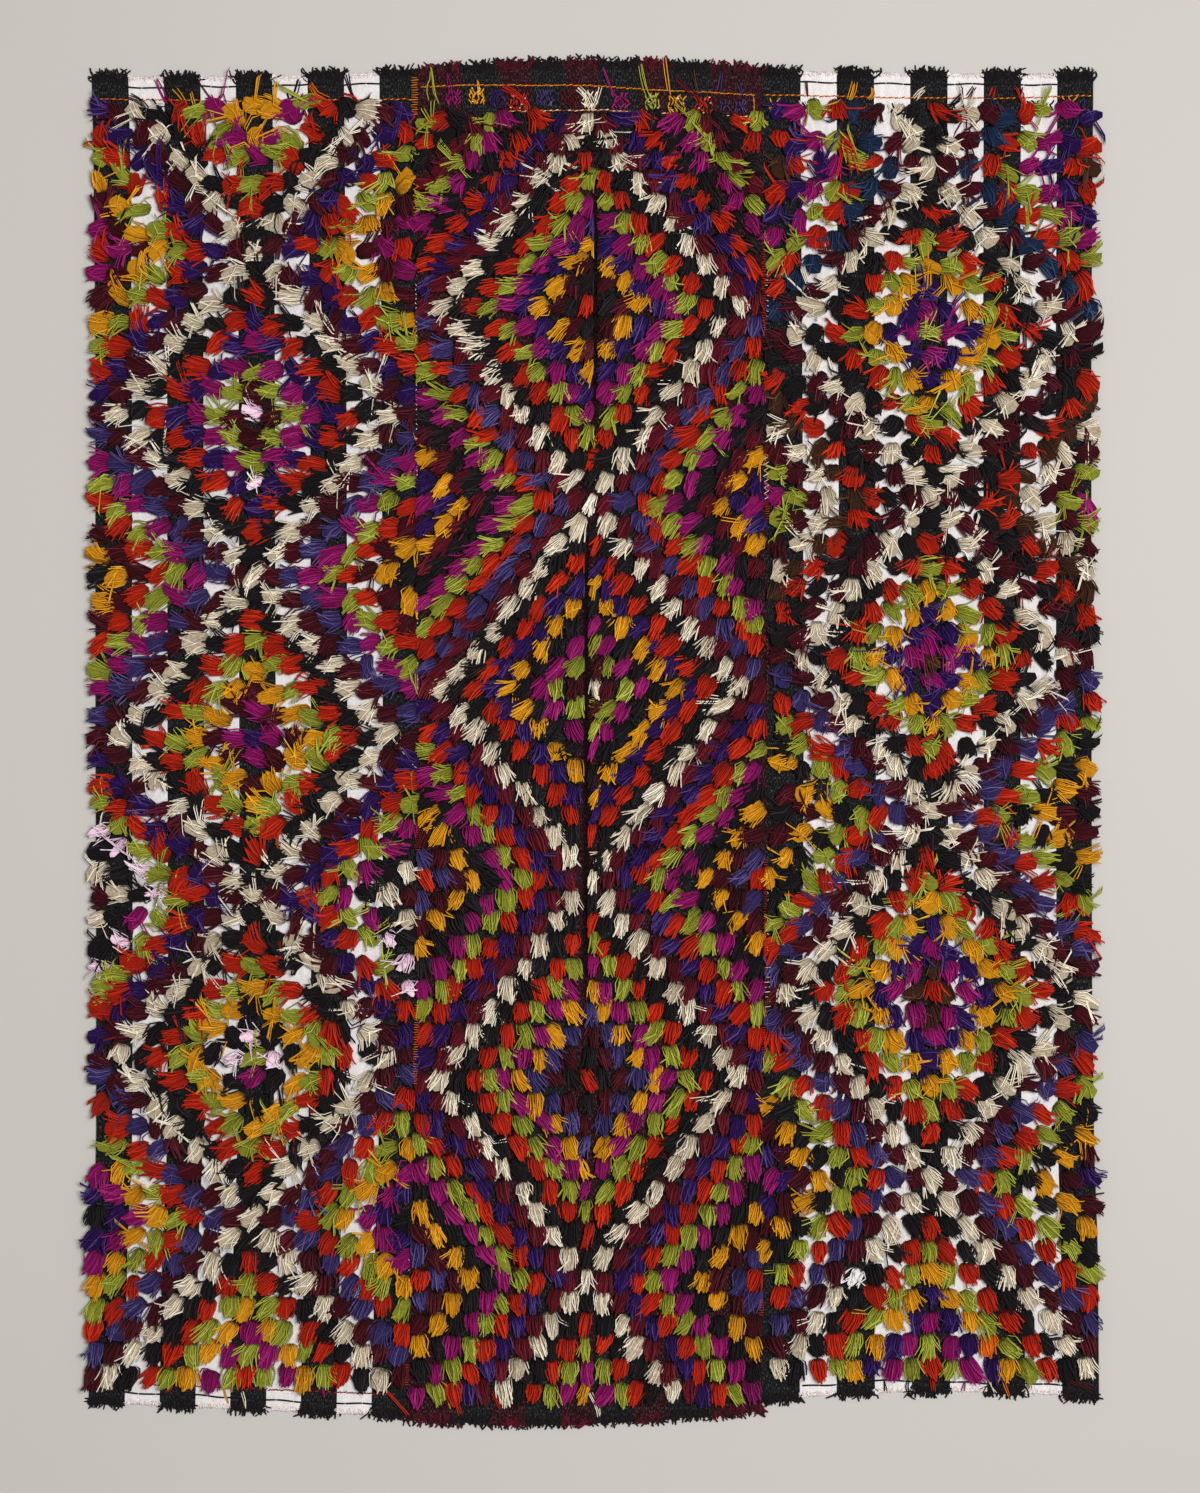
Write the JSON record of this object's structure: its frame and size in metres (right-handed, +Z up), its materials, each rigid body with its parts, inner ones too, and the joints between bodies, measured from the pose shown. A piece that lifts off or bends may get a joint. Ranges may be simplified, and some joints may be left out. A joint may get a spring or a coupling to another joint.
{
  "type": "tulu rug",
  "caption": "Long-pile tufted wool rug of narrow woven strips sewn side by side, lying flat, with flatwoven headings at both ends.",
  "frame": {"origin": "on the floor, under the middle of the rug's outline", "axes": "+X to the rug's right edge, +Y to its top edge, +Z up from the floor through the pile"},
  "size_m": [1.429, 1.8996, 0.0258],
  "materials": {
    "left_pile": "hand-spun wool pile in many dyes over black and white warps, matt",
    "centre_pile": "hand-spun wool pile in many dyes over black and maroon warps, matt",
    "right_pile": "hand-spun wool pile in many dyes over black and white warps, matt"
  },
  "bodies": {
    "root": {"left_panel": "left_pile", "centre_panel": "centre_pile", "right_panel": "right_pile"}
  },
  "joints": []
}
